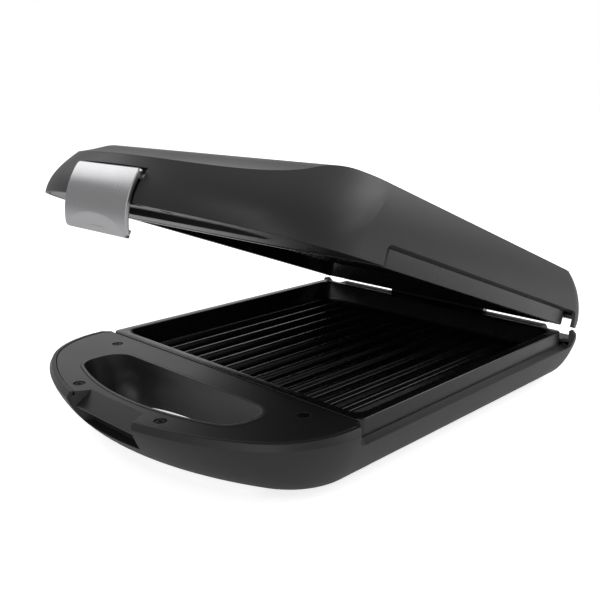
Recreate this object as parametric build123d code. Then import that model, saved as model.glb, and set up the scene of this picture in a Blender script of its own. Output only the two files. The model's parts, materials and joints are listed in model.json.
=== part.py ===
from build123d import *

import os
from dataclasses import dataclass, replace
from math import asin, atan2, cos, degrees, pi, radians, sin, sqrt, tan

# A contact grill for sandwiches: a bowl-shaped base and a wedge-shaped lid, each carrying a ribbed
# cast plate, joined by a barrel hinge at the back and held shut by a swinging latch at the front.
#
# Every piece is modelled closed, in the plate frame: the origin is the middle of the lower plate's
# front edge, +Y runs to the back, and Z = 0 is the parting plane where the two plates meet.  Lid
# pieces are then turned about the hinge to the rest opening, and all pieces are lifted so that the
# feet stand on Z = 0 with the origin in the middle of the base.  All sizes are in millimetres.

# ---- overall sizes ------------------------------------------------------------------------------
PLATE_WIDTH = 250.0
PLATE_DEPTH = 245.0
BASE_DEPTH = 39.5              # parting plane to the underside of the base
FOOT_HEIGHT = 5.0
BASE_SIDE_MARGIN = 8.0         # plate edge to the outside of the base, at each side
LID_SIDE_MARGIN = 6.0
BASE_FRONT_REACH = 96.7        # plate edge to the front of the handle
LID_FRONT_REACH = 107.0
BACK_REACH = 37.0              # plate edge to the back of both housings
BASE_BULGE = 1.88              # how much flatter the handle's front curve is than its corners
NOSE_CORNER_RADIUS = 68.0
HEEL_RADIUS = 32.0             # the back corners, in plan

# ---- hinge --------------------------------------------------------------------------------------
HINGE_SETBACK = 11.4           # plate edge to the hinge axis
REST_OPENING = 19.85           # degrees
HINGE_PIN_RADIUS = 2.0
HINGE_BARREL_RADIUS = 4.6
HINGE_HALF_WIDTH = 48.0
HINGE_CENTRE_HALF_WIDTH = 15.0
HINGE_LEAF_THICKNESS = 2.0
HINGE_LEAF_GAP = 7.5           # parting plane to the leaf's near face
HINGE_SCREW_RADIUS = 1.3
HEEL_SLOPE = 50.0              # degrees, how far the back falls away from the parting plane
HEEL_EDGE_RADIUS = 4.5
HEEL_CLEARANCE = 1.2           # hinge axis to each sloping back face
HINGE_SEAT_MARGIN = 1.0        # past each end of a leaf
HINGE_KNUCKLE_GAP = 0.3
HINGE_LEAF_SETBACK = 0.4       # the seat's front wall to the leaf
HINGE_LEAF_CORNER_RADIUS = 1.5
HINGE_CURL = 0.8               # how far the leaf stops short of the barrel's back
HINGE_WEB = 2.0                # where a knuckle's foot starts, in front of the axis
HINGE_SCREW_PLACES = (22.0, 41.0)
HINGE_SCREW_SETBACK = 3.2
HINGE_SCREW_HEAD = (2.3, 1.4)  # radius and height
HINGE_SCREW_REACH = 1.6        # below the leaf's face
HINGE_PIN_HEAD = (2.6, 0.7)    # radius and thickness

# ---- mouldings ----------------------------------------------------------------------------------
WALL = 2.6
WAIST_DROP = 4.3               # where the base is widest
RIM_INSET = 2.0                # how far the rim leans in from there
BELLY_ROLL = 21.6              # how far the sides and the back roll in underneath
BELLY_FRONT_ROLL = 40.8        # the same under the handle
BELLY_CORNER_ROLL = 35.8       # how much the front corners tighten on the way down
BELLY_FLATTENING = 0.48        # how much the front curve flattens
BELLY_LEAN = 0.33              # share of the roll that is a straight lean
BELLY_STEPS = (0.0, 22.5, 45.0, 65.0, 80.0, 90.0)
RIM_GAP = 0.4                  # parting plane to each moulded rim
SHELF_GAP = 0.2
SHELF_THICKNESS = 2.4
SHELF_WIDTH = 9.6
WINDOW_START = -0.6            # the side cut-outs that show the plates' skirts
WINDOW_END = 3.2               # past the plate's back edge
WINDOW_CORNER_RADIUS = 2.5
WINDOW_RAMP = 9.0              # how far the sloping frame spreads to the front
WINDOW_LOW_RAMP = 3.6          # and along the cut-out's long side
WINDOW_BACK_RAMP = 4.0
DECK_NOTCH_X = 106.0           # where the deck behind the plate steps away, at each end
DECK_NOTCH_DROP = 7.0
LID_CROWN = 49.5               # highest point of the lid above the parting plane
LID_TAIL_CROWN = 44.6
LID_CREST = 28.0               # the front edge of the lid's top
LID_TOE = 6.0                  # how far the low front of the top reaches back
LID_TOE_RISE = 2.0             # over its length and LID_TOE_RUN
LID_TOE_RUN = 40.0
LID_SWEEP_RADIUS = 134.0
LID_SWEEP_ANGLE = 24.9
LID_SHOULDER_RADIUS = 49.0
LID_HEEL_ROLL = 35.0           # the roll at the back of the top, in side view
LID_BULGE = 2.17
LID_CORNER_RADIUS = 62.0

# The lid's walls above the rim: height, then how far the sides, the front and the back have moved
# in, then the bulge and the corner radii at the front and at the back.
LID_SECTIONS = (
    (15.0, 1.5, 1.95, 0.0, 2.06, 62.0, 32.0),
    (28.0, 4.6, 8.3, 3.2, 1.82, 65.0, 32.0),
    (52.0, 19.8, 20.9, 20.4, 1.216, 54.3, 30.0),
)

# ---- handle -------------------------------------------------------------------------------------
COVER_THICKNESS = 2.4
COVER_GAP = 0.35
COVER_BACK_GAP = 0.85          # plate edge to the cover's back edge
COVER_DROP = 0.6               # parting plane to the cover's face
COVER_EDGE = 0.3
WELL_HALF_WIDTH = 78.0         # finger opening at the cover
WELL_BACK = -24.5
WELL_FRONT = -73.0
WELL_REACH = 50.0              # depth at which the opening has grown to the next three sizes
WELL_FLOOR_HALF_WIDTH = 92.0
WELL_FLOOR_BACK = 6.0
WELL_FLOOR_FRONT = -62.0
WELL_NOSE_RADIUS = 187.0       # the opening's front curve, in plan
WELL_CORNER_RADIUS = 15.0
WELL_WALL = 2.0
WELL_LEDGE = 1.5               # the liner's ledge under the cover
LID_WELL_DEPTH = 16.0
LID_WELL_FLARE = 0.3           # how far the lid's blind well opens out, as a share of the base's
LID_RIB_PLACES = (-52.0, 0.0, 52.0)
COVER_SCREWS = ((95.4, -15.5), (43.2, -79.1))
SCREW_RADIUS = 1.75
SCREW_HEAD_RADIUS = 3.7
SCREW_HEAD_HEIGHT = 2.0
SCREW_HEAD_RIM = 0.7           # height of the head's straight edge under its dome
SCREW_HEAD_FLAT = 2.2          # radius of the dome's flat top
SCREW_HEAD_SINK = 0.2          # cover's face to the top of the head
SCREW_HEAD_SEAT = 1.4          # cover's face to the underside of the head
SCREW_HOLE_GAP = 0.3
SCREW_LENGTH = 12.0
POST_RADIUS = 4.5

# ---- grill plates -------------------------------------------------------------------------------
PLATE_GAP = 0.1                # parting plane to each plate's rim
PLATE_CORNER_RADIUS = 5.0
PLATE_SKIRT = 11.0
PLATE_RIM = 7.0
PLATE_VALLEY = 15.0            # parting plane to the floor between the ribs
PLATE_FLOOR = 3.2              # metal under that floor
PLATE_DRAFT = 26.0             # degrees, the slope of the inner walls
RIB_COUNT = 14
RIB_PITCH = 15.72
RIB_HEIGHT = 3.8
RIB_WIDTH = 6.4
RIB_TOP_WIDTH = 2.6
RIB_START = 21.0
RIB_BACK_MARGIN = 20.0
RIB_ROOT = 0.3                 # how far each rib reaches into the floor
PLATE_EDGE = 0.6
PLATE_TRAY_GAP = 0.6           # the shelf's inner edge to the tray
PLATE_BOSS = 5.0               # metal left above each corner screw's hole

PLATE_SCREW_HEAD_RADIUS = 3.3

# ---- what heats the plates ----------------------------------------------------------------------
HEATER_RADIUS = 3.3
HEATER_HALF_WIDTH = 72.0
HEATER_MARGIN = 45.0
HEATER_BEND_RADIUS = 24.0
HEATER_GAP = 0.15
REFLECTOR_THICKNESS = 0.8
REFLECTOR_DEPTH = 9.0
REFLECTOR_MARGIN = 26.0
REFLECTOR_CORNER_RADIUS = 14.0
THERMOSTAT_RADIUS = 8.0
THERMOSTAT_HEIGHT = 6.0
THERMOSTAT_PLACE = 20.0        # middle of the plate to the middle of the thermostat
THERMOSTAT_TAB = (4.0, 12.0, 1.0)
THERMOSTAT_TAB_X = 4.5
TERMINAL_SIZE = (34.0, 14.0, 9.0)
TERMINAL_MARGIN = 14.0         # plate's back edge to the middle of the block
TERMINAL_HOLE_RADIUS = 2.2
TERMINAL_PITCH = 10.0
GLAND_BORE_RADIUS = 3.6
GLAND_LENGTH = 20.0
GLAND_BODY = (15.0, 11.0)      # width and height of the sleeve
GLAND_FLANGE = 2.0             # how far the flange stands out past the sleeve, and its thickness
GLAND_CORNER_RADIUS = 2.5
GLAND_SETBACK = 5.0            # rearmost line of the bowl to the flange's face
GLAND_X = 78.0
GLAND_RISE = 9.5               # underside of the base to the gland's axis
FOOT_RADIUS = 9.0
FOOT_EDGE = 1.2
FOOT_X = 78.0
FOOT_FRONT_PLACE = 24.0
FOOT_BACK_MARGIN = 15.0        # plate's back edge to the rear feet

# ---- latch --------------------------------------------------------------------------------------
LATCH_HALF_WIDTH = 31.0
LATCH_THICKNESS = 2.8
LATCH_TOP = 20.2
LATCH_BOTTOM = -18.4
LATCH_FACE = -107.6            # the flap's foremost line
LATCH_BOW_RADIUS = 47.0
LATCH_BOW_HEIGHT = 3.0         # height of that foremost line
LATCH_GAP = 0.9
LATCH_PIN_RADIUS = 1.5
LATCH_PIN_COVER = 0.6          # wall left past each end of the pin
LATCH_PIN_Y = -101.2
LATCH_PIN_Z = 16.0
LATCH_LUG_X = 19.0
LATCH_LUG_WIDTH = 5.0
LATCH_LUG_REACH = 3.0          # round the pin's axis
LATCH_LUG_FOOT = 6.0
LATCH_CORNER_RADIUS = 2.2
LATCH_HOOK_HALF_WIDTH = 15.0
LATCH_HOOK_TIP = -88.9
LATCH_HOOK_ROOT = -8.0         # where the hook leaves the flap
LATCH_HOOK_UNDER = -15.5
LATCH_HOOK_TOP = -13.2
LATCH_HOOK_NOSE = (3.2, 0.6)   # the flat behind the tip and the rise in front of it
LATCH_SCOOP_RADIUS = 300.0
LATCH_SCOOP_DEPTH = 1.3
CATCH_NOSE = -88.5
CATCH_NOSE_Z = -11.0
CATCH_LAND = 1.2               # height of the nose's upright face
CATCH_UNDERCUT = (3.0, 1.0)    # the bevel under the nose
POCKET_HALF_WIDTH = 33.5
POCKET_BACK_HALF_WIDTH = 27.5
POCKET_BACK = -79.5
POCKET_FLOOR = -20.5
POCKET_FLARE = 6.0             # where the pocket's sides start to spread, from the front

RUNNING_CLEARANCE = 0.05
SEAT_GAP = 0.1                 # between pieces that rest against each other in one body

# ---- what follows from them ---------------------------------------------------------------------
HALF_WIDTH = PLATE_WIDTH / 2 + BASE_SIDE_MARGIN
LID_HALF_WIDTH = PLATE_WIDTH / 2 + LID_SIDE_MARGIN
HINGE_Y = PLATE_DEPTH + HINGE_SETBACK
BACK_Y = PLATE_DEPTH + BACK_REACH
PARTING_Z = BASE_DEPTH + FOOT_HEIGHT
LID_SHIFT = BASE_FRONT_REACH - LID_FRONT_REACH      # the lid's handle reaches further forward
UNDER_PLATE = PLATE_GAP + PLATE_VALLEY + PLATE_FLOOR
SIDE_WINDOW_HEIGHT = PLATE_GAP + PLATE_SKIRT + SHELF_GAP
RIB_END = PLATE_DEPTH - RIB_BACK_MARGIN
FOOT_PLACES = (FOOT_FRONT_PLACE, PLATE_DEPTH - FOOT_BACK_MARGIN)
GLAND_Z = GLAND_RISE - BASE_DEPTH
LATCH_PIN_HALF = LATCH_HALF_WIDTH + LATCH_GAP + WALL - LATCH_PIN_COVER
FAR = 400.0


@dataclass(frozen=True)
class Outline:
    """D-shaped plan: straight sides, a long front curve and four round corners."""

    half_width: float
    front: float
    back: float
    bulge: float
    corner_radius: float
    heel_radius: float

    @property
    def nose_radius(self):
        """Radius of the front curve, always large enough to meet both corners."""
        return self.corner_radius + self.bulge * (self.half_width - self.corner_radius)

    def inset(self, distance):
        """The parallel outline that lies inside this one."""
        return self.moved_in(distance, distance, distance, self.bulge,
                             self.corner_radius - distance, self.heel_radius - distance)

    def moved_in(self, sides, front, back, bulge, corner_radius, heel_radius):
        """The outline with its sides, front and back moved in by different distances."""
        return Outline(self.half_width - sides, self.front + front, self.back - back, bulge,
                       corner_radius, heel_radius)

    def face(self, z=0.0):
        """The outline as a flat face at height z."""
        corner_x = self.half_width - self.corner_radius
        nose_y = self.front + self.nose_radius
        corner_y = nose_y - sqrt((self.nose_radius - self.corner_radius) ** 2 - corner_x ** 2)
        turn = atan2(corner_y - nose_y, corner_x)
        heel_x = self.half_width - self.heel_radius
        heel_y = self.back - self.heel_radius
        wires = []
        for side in (1, -1):
            def at(x, y):
                return (side * x, y)

            def on_corner(angle):
                return at(corner_x + self.corner_radius * cos(angle),
                          corner_y + self.corner_radius * sin(angle))

            def on_nose(angle):
                return at(self.nose_radius * cos(angle), nose_y + self.nose_radius * sin(angle))

            def on_heel(angle):
                return at(heel_x + self.heel_radius * cos(angle),
                          heel_y + self.heel_radius * sin(angle))

            wires += [Line((0, self.back), on_heel(pi / 2)),
                      ThreePointArc(on_heel(pi / 2), on_heel(pi / 4), on_heel(0)),
                      Line(on_heel(0), on_corner(0)),
                      ThreePointArc(on_corner(0), on_corner(turn / 2), on_corner(turn)),
                      ThreePointArc(on_nose(turn), on_nose((turn - pi / 2) / 2), on_nose(-pi / 2))]
        return Pos(0, 0, z) * make_face(Curve() + wires).face()


BASE_OUTLINE = Outline(HALF_WIDTH, -BASE_FRONT_REACH, BACK_Y, BASE_BULGE,
                       NOSE_CORNER_RADIUS, HEEL_RADIUS)
LID_OUTLINE = replace(BASE_OUTLINE, half_width=LID_HALF_WIDTH, front=-LID_FRONT_REACH,
                      bulge=LID_BULGE, corner_radius=LID_CORNER_RADIUS)
BASE_COVER_OUTLINE = BASE_OUTLINE.inset(RIM_INSET + WALL + COVER_GAP)
LID_COVER_OUTLINE = LID_OUTLINE.inset(WALL + 2 * COVER_GAP)


def block(x0, x1, y0, y1, z0, z1):
    """A box given by its limits."""
    return Pos((x0 + x1) / 2, (y0 + y1) / 2, (z0 + z1) / 2) * Box(x1 - x0, y1 - y0, z1 - z0)


def rod(radius, start, end):
    """A round rod between two points."""
    path = Line(start, end)
    return extrude(Plane(start, z_dir=path % 0) * Circle(radius), path.length)


def yz_prism(points, half_width):
    """A prism along X with the given (y, z) corners."""
    return extrude(Plane.YZ * make_face(Polyline(*points, close=True)), half_width, both=True)


def both_sides(piece):
    """A piece and its mirror image across the middle plane."""
    return piece + mirror(piece, Plane.YZ)


def flipped(piece):
    """The lid's version of a base piece: its mirror image across the parting plane."""
    return mirror(piece, Plane.XY)


def heel_wedge():
    """What is cut away behind the base so that the lid can swing back past it."""
    slope = radians(HEEL_SLOPE)
    start_y = HINGE_Y - HEEL_CLEARANCE / sin(slope)
    run = FAR / 4
    return yz_prism([(start_y, 0), (start_y + run, -run * tan(slope)),
                     (start_y + run, FAR / 4), (start_y, FAR / 4)], FAR)


def rounded_heel(form):
    """The form with the edges round its sloping back face rounded, except the hinge's edge."""
    back = form.faces().filter_by(GeomType.PLANE).sort_by(Axis((0, 0, 0), (0, 1, 0.5)))[-1]
    edges = back.edges().filter_by(lambda edge: abs(edge.center().Z) > WAIST_DROP / 2)
    return fillet(edges, HEEL_EDGE_RADIUS)


# ---- base and lid housings ----------------------------------------------------------------------
def bowl(inset=0.0):
    """The base's bowl: the wall leans out from the rim to the waist, then rolls under."""
    outline = BASE_OUTLINE.inset(inset)
    rim = loft([outline.inset(RIM_INSET).face(-RIM_GAP), outline.face(-WAIST_DROP)], ruled=True)
    sections = []
    for step in BELLY_STEPS:
        roll = (1 - BELLY_LEAN) * (1 - cos(radians(step))) + BELLY_LEAN * sin(radians(step))
        sides = roll * (BELLY_ROLL - inset)
        section = outline.moved_in(sides, roll * (BELLY_FRONT_ROLL - inset), sides,
                                   outline.bulge + roll * BELLY_FLATTENING,
                                   outline.corner_radius - roll * (BELLY_CORNER_ROLL - inset),
                                   outline.heel_radius - sides)
        fall = sin(radians(step)) * (BASE_DEPTH - WAIST_DROP - inset)
        sections.append(section.face(-WAIST_DROP - fall))
    return rim + loft(sections)


def lid_top(drop=0.0):
    """The side view of the lid under its top: a low toe, a sweep up to the crown, a rolled tail."""
    toe = Line((-LID_FRONT_REACH - LID_TOE_RUN, LID_CREST - drop - LID_TOE_RISE),
               (LID_TOE - LID_FRONT_REACH, LID_CREST - drop))
    sweep_up = JernArc(toe @ 1, toe % 1, LID_SWEEP_RADIUS, LID_SWEEP_ANGLE)
    fall = degrees(asin((LID_CROWN - LID_TAIL_CROWN) / PLATE_DEPTH))
    turn = degrees(atan2((sweep_up % 1).Y, (sweep_up % 1).X)) + fall
    crown = JernArc(sweep_up @ 1, sweep_up % 1, LID_SHOULDER_RADIUS, -turn)
    roll_radius = LID_HEEL_ROLL - drop
    run = BACK_Y - drop - roll_radius * (1 - sin(radians(fall))) - (crown @ 1).X
    tail = Line(crown @ 1, (crown @ 1) + (crown % 1) * (run / cos(radians(fall))))
    roll = JernArc(tail @ 1, tail % 1, roll_radius, fall - 90)
    under = Polyline(roll @ 1, ((roll @ 1).X, -FAR / 4), ((toe @ 0).X, -FAR / 4), toe @ 0)
    side_view = make_face(Curve() + [toe, sweep_up, crown, tail, roll, under])
    return extrude(Plane.YZ * side_view, FAR, both=True)


def lid_form(inset=0.0):
    """The lid's solid form: walls lofted through four D outlines, cut off by the swept top."""
    sections = [LID_OUTLINE.inset(inset).face(RIM_GAP)]
    for height, *moves in LID_SECTIONS:
        sections.append(LID_OUTLINE.moved_in(*moves).inset(inset).face(height))
    return loft(sections) & lid_top(inset)


def well(half_width, back, front, grow, z):
    """The finger opening's outline at height z, grown outwards by some distance."""
    radius = WELL_NOSE_RADIUS + grow
    sides = Pos(0, (back + front) / 2) * Rectangle(2 * (half_width + grow), back - front + 2 * grow)
    bean = sides & (Pos(0, front - grow + radius) * Circle(radius))
    return Pos(0, 0, z) * fillet(bean.vertices(), WELL_CORNER_RADIUS + grow).face()


def finger_well(grow=0.0, floor=WELL_REACH, shift=0.0, flare=1.0):
    """The flared finger opening; its back wall slopes away under the plate."""
    top = well(WELL_HALF_WIDTH, WELL_BACK, WELL_FRONT, grow, 0)
    bottom = well(WELL_HALF_WIDTH + flare * (WELL_FLOOR_HALF_WIDTH - WELL_HALF_WIDTH),
                  WELL_BACK + flare * (WELL_FLOOR_BACK - WELL_BACK),
                  WELL_FRONT + flare * (WELL_FLOOR_FRONT - WELL_FRONT), grow, -floor)
    return Pos(0, shift, 0) * loft([top, bottom], ruled=True)


def well_liner(depth, shift=0.0, flare=1.0):
    """The solid form of the opening's liner, with the ledge that the cover rests on."""
    ledge = -COVER_DROP - COVER_THICKNESS - SEAT_GAP
    liner = finger_well(WELL_WALL, depth, shift, flare)
    liner += (finger_well(WELL_WALL + WELL_LEDGE, depth, shift, flare)
              & block(-FAR, FAR, -FAR, FAR, ledge - WELL_WALL, ledge))
    return liner - block(-FAR, FAR, -FAR, FAR, -RIM_GAP, 1)


def base_well_liner():
    """The base's open liner, whose foot follows the underside of the bowl."""
    return (well_liner(WELL_REACH) & bowl()) - finger_well()


def lid_well_cup():
    """The lid's blind cup, where the fingertips go under the handle."""
    cup = well_liner(LID_WELL_DEPTH + WELL_WALL, LID_SHIFT, LID_WELL_FLARE)
    return flipped(cup - finger_well(0, LID_WELL_DEPTH, LID_SHIFT, LID_WELL_FLARE))


def screw_places(shift=0.0):
    """Where the handle cover's four screws stand."""
    return [(side * x, y + shift) for x, y in COVER_SCREWS for side in (1, -1)]


def screw_posts(shift, floor):
    """Bored posts that rise from the housing's floor to the handle cover."""
    top = COVER_DROP + COVER_THICKNESS
    posts = Part()
    for x, y in screw_places(shift):
        posts += Pos(x, y, -(top + floor) / 2) * Cylinder(POST_RADIUS, floor - top)
    return posts


def screw_bores(shift):
    """The posts' blind pilot holes."""
    reach = COVER_DROP + SCREW_LENGTH + 1
    return [Pos(x, y, -reach / 2) * Cylinder(SCREW_RADIUS + SEAT_GAP, reach)
            for x, y in screw_places(shift)]


def plate_shelf():
    """The ledge inside a housing that the plate's skirt stands on."""
    half = PLATE_WIDTH / 2
    ledge = block(-HALF_WIDTH, HALF_WIDTH, -WALL, PLATE_DEPTH + WALL,
                  -SIDE_WINDOW_HEIGHT - SHELF_THICKNESS, -SIDE_WINDOW_HEIGHT)
    ledge -= block(SHELF_WIDTH - half, half - SHELF_WIDTH, SHELF_WIDTH, PLATE_DEPTH - SHELF_WIDTH,
                   -FAR, FAR)
    for x, y in corner_places():
        ledge -= Pos(x, y, -SIDE_WINDOW_HEIGHT) * Cylinder(SCREW_RADIUS + SEAT_GAP, 4 * SHELF_THICKNESS)
    return ledge


def heel_deck(drop):
    """What the inner hollow leaves standing behind the plate: the deck and the hinge seat."""
    seat = HINGE_LEAF_GAP + HINGE_LEAF_THICKNESS + SEAT_GAP + drop
    half = HINGE_HALF_WIDTH + HINGE_SEAT_MARGIN + drop
    return (block(-FAR, FAR, PLATE_DEPTH + COVER_GAP, FAR, -RIM_GAP - drop, FAR)
            + block(-half, half, PLATE_DEPTH + COVER_GAP, FAR, -seat, FAR) + deck_notches(drop))


def deck_notches(grow=0.0):
    """The steps at both ends of the deck, just behind the plate's back corners."""
    return both_sides(block(DECK_NOTCH_X - grow, FAR, PLATE_DEPTH + COVER_GAP, FAR,
                            -DECK_NOTCH_DROP - grow, FAR / 4))


def hinge_seat():
    """The notch in the deck that holds a hinge leaf and its barrels."""
    seat = HINGE_LEAF_GAP + HINGE_LEAF_THICKNESS + SEAT_GAP
    half = HINGE_HALF_WIDTH + HINGE_SEAT_MARGIN
    return block(-half, half, PLATE_DEPTH + WALL, FAR, -seat, FAR)


def window_frame(x, grow, front, back, low, radius):
    """One cross-section of a side cut-out, at the given distance from the middle plane."""
    y0, y1 = WINDOW_START - grow - front, PLATE_DEPTH + WINDOW_END + grow + back
    low_z = -SIDE_WINDOW_HEIGHT - grow - low
    outline = Plane.YZ * Pos((y0 + y1) / 2, 0) * RectangleRounded(y1 - y0, -2 * low_z, radius + grow)
    return Pos(x, 0, 0) * outline.face()


def side_windows(grow=0.0):
    """The side cut-outs that leave the plate's skirt in view, each in a frame that slopes in."""
    inner = window_frame(PLATE_WIDTH / 2 - SEAT_GAP, grow, 0, 0, 0, WINDOW_CORNER_RADIUS)
    outer = window_frame(HALF_WIDTH + RIM_INSET, grow, WINDOW_RAMP, WINDOW_BACK_RAMP,
                         WINDOW_LOW_RAMP, WINDOW_CORNER_RADIUS + WINDOW_LOW_RAMP)
    return both_sides(loft([inner, outer], ruled=True))


def pocket_plan(grow=0.0):
    """The latch pocket's plan, which spreads towards the front."""
    half, back_half = POCKET_HALF_WIDTH + grow, POCKET_BACK_HALF_WIDTH + grow
    spread = POCKET_HALF_WIDTH - POCKET_BACK_HALF_WIDTH
    front = -BASE_FRONT_REACH
    plan = Polyline((-half - spread, front - 2 * POCKET_FLARE), (-half, front + POCKET_FLARE),
                    (-back_half, POCKET_BACK + grow), (back_half, POCKET_BACK + grow),
                    (half, front + POCKET_FLARE), (half + spread, front - 2 * POCKET_FLARE), close=True)
    return make_face(plan)


def latch_pocket(grow=0.0):
    """The recess at the front of the base that the latch closes over."""
    floor = POCKET_FLOOR - grow
    top = 1 if grow == 0 else -COVER_DROP - COVER_THICKNESS
    return Pos(0, 0, floor) * extrude(pocket_plan(grow), top - floor)


def base_housing():
    """The base's moulding: bowl, finger well, latch pocket, plate shelf, posts and hinge seat."""
    outer = rounded_heel(bowl() - heel_wedge())
    hollow = bowl(WALL)
    hollow += extrude(BASE_OUTLINE.inset(WALL + RIM_INSET).face(-RIM_GAP - 1), 2)
    hollow -= Pos(0, -WALL, -WALL / 2) * heel_wedge()
    hollow -= heel_deck(WALL)
    inside = plate_shelf() + screw_posts(0, BASE_DEPTH - 1) + latch_pocket(WALL) + window_backing()
    shell = (outer - hollow) + (inside & outer)
    shell += gland_sleeve(GLAND_FLANGE + SEAT_GAP, GLAND_LENGTH, GLAND_FLANGE + GLAND_SETBACK + SEAT_GAP)
    shell -= gland_sleeve(SEAT_GAP, GLAND_SETBACK + GLAND_LENGTH + WALL, 0)
    shell -= finger_well(WELL_WALL + SEAT_GAP)
    shell -= latch_pocket()
    shell -= side_windows()
    shell -= hinge_seat()
    shell -= deck_notches() & extrude(BASE_OUTLINE.inset(WALL + RIM_INSET).face(-BASE_DEPTH), FAR)
    shell -= screw_bores(0)
    return shell


def window_backing():
    """The wall behind the side cut-outs' sloping frames, outside the plate's own space."""
    backing = side_windows(WALL) & block(-FAR, FAR, -FAR, PLATE_DEPTH + WINDOW_END, -FAR, -RIM_GAP)
    room = block(-PLATE_WIDTH / 2 - SHELF_GAP, PLATE_WIDTH / 2 + SHELF_GAP, WINDOW_START, FAR, -FAR, FAR)
    return backing - room


def gland_sleeve(grow, length, setback):
    """A block on the gland's axis, grown past its sleeve, from the given setback towards the front."""
    width, height = GLAND_BODY
    section = RectangleRounded(width + 2 * grow, height + 2 * grow, GLAND_CORNER_RADIUS + grow)
    return Pos(GLAND_X, BACK_Y - setback, GLAND_Z) * Rot(90, 0, 0) * extrude(section, length)


def latch_bay(grow=0.0):
    """The recess in the lid's front wall that the latch swings in."""
    half = LATCH_HALF_WIDTH + LATCH_GAP + grow
    start = COVER_DROP + COVER_THICKNESS if grow >= WALL else -5
    return block(-half, half, -LID_FRONT_REACH - 10, LATCH_PIN_Y + 5 + grow, start,
                 LATCH_TOP + LATCH_GAP + grow)


def lid_housing():
    """The lid's moulding: wedge-shaped crown, blind finger well, latch bay and hinge seat."""
    outer = lid_form() - flipped(heel_wedge())
    hollow = lid_form(WALL) + extrude(LID_OUTLINE.inset(WALL).face(RIM_GAP - 1), 1)
    hollow -= flipped(Pos(0, -WALL, -WALL / 2) * heel_wedge())
    hollow -= flipped(heel_deck(WALL))
    inside = flipped(plate_shelf() + screw_posts(LID_SHIFT, LID_CROWN) + window_backing())
    for x in LID_RIB_PLACES:
        inside += block(x - WALL / 2, x + WALL / 2, -LID_FRONT_REACH, -WALL,
                        LID_WELL_DEPTH + WELL_WALL + SEAT_GAP, LID_CROWN)
    inside += latch_bay(WALL)
    shell = (outer - hollow) + (inside & outer)
    shell -= latch_bay()
    shell -= rod(LATCH_PIN_RADIUS + SEAT_GAP, (-LATCH_PIN_HALF, LATCH_PIN_Y, LATCH_PIN_Z),
                 (LATCH_PIN_HALF, LATCH_PIN_Y, LATCH_PIN_Z))
    shell -= flipped(side_windows())
    shell -= flipped(hinge_seat())
    shell -= flipped(deck_notches()) & extrude(LID_OUTLINE.inset(WALL).face(0), FAR)
    shell -= [flipped(bore) for bore in screw_bores(LID_SHIFT)]
    return shell


# ---- handle covers ------------------------------------------------------------------------------
def handle_cover(outline, shift, notch):
    """The flat cover of a handle, with the finger opening, a latch notch and countersunk holes."""
    face = outline.face(-COVER_DROP - COVER_THICKNESS)
    cover = extrude(face, COVER_THICKNESS) & block(-FAR, FAR, -FAR, -COVER_BACK_GAP, -FAR, FAR)
    cover = chamfer((cover - side_windows(WALL + COVER_GAP)).edges().group_by(Axis.Z)[-1], COVER_EDGE)
    cover -= finger_well(WELL_WALL + COVER_GAP, WELL_REACH, shift)
    cover -= notch
    for x, y in screw_places(shift):
        face = Pos(x, y, -COVER_DROP)
        cover -= face * Cylinder(SCREW_RADIUS + SCREW_HOLE_GAP, 4 * COVER_THICKNESS)
        cover -= face * Cylinder(SCREW_HEAD_RADIUS + SCREW_HOLE_GAP, 2 * SCREW_HEAD_SEAT)
    return cover


def cover_screws(shift):
    """Four screws with shallow domed heads that sit below the cover's face."""
    seat = -COVER_DROP - SCREW_HEAD_SEAT
    top = -COVER_DROP - SCREW_HEAD_SINK
    profile = make_face(Polyline((0, seat), (SCREW_HEAD_RADIUS, seat),
                                 (SCREW_HEAD_RADIUS, seat + SCREW_HEAD_RIM), (SCREW_HEAD_FLAT, top),
                                 (0, top), close=True))
    head = revolve(Plane.XZ * profile, Axis.Z)
    shank = SCREW_LENGTH - SCREW_HEAD_HEIGHT
    screw = head + Pos(0, 0, seat - shank / 2) * Cylinder(SCREW_RADIUS, shank)
    return [Pos(x, y) * screw for x, y in screw_places(shift)]


# ---- grill plates and what heats them -----------------------------------------------------------
def plate_blank(inset, depth, draft=0.0):
    """A rounded rectangle below the parting plane, set in from the plate's outer edge."""
    radius = max(PLATE_CORNER_RADIUS - inset, 1.0) if draft == 0 else PLATE_CORNER_RADIUS + 3
    outline = RectangleRounded(PLATE_WIDTH - 2 * inset, PLATE_DEPTH - 2 * inset, radius)
    return Pos(0, PLATE_DEPTH / 2) * extrude(outline, -depth, taper=draft)


def grill_rib():
    """One tapered rib with rounded ends, standing on the plate's valley floor."""
    length = RIB_END - RIB_START
    foot = Pos(0, 0, -RIB_ROOT) * SlotOverall(length, RIB_WIDTH, rotation=90)
    top = Pos(0, 0, RIB_HEIGHT) * SlotOverall(length - RIB_WIDTH + RIB_TOP_WIDTH, RIB_TOP_WIDTH,
                                              rotation=90)
    return Pos(0, (RIB_START + RIB_END) / 2, -PLATE_VALLEY) * loft([foot.face(), top.face()], ruled=True)


def corner_places():
    """The four places where a plate is screwed to its housing."""
    x = PLATE_WIDTH / 2 - SHELF_WIDTH / 2
    return [(side * x, y) for y in (SHELF_WIDTH / 2, PLATE_DEPTH - SHELF_WIDTH / 2) for side in (1, -1)]


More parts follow.
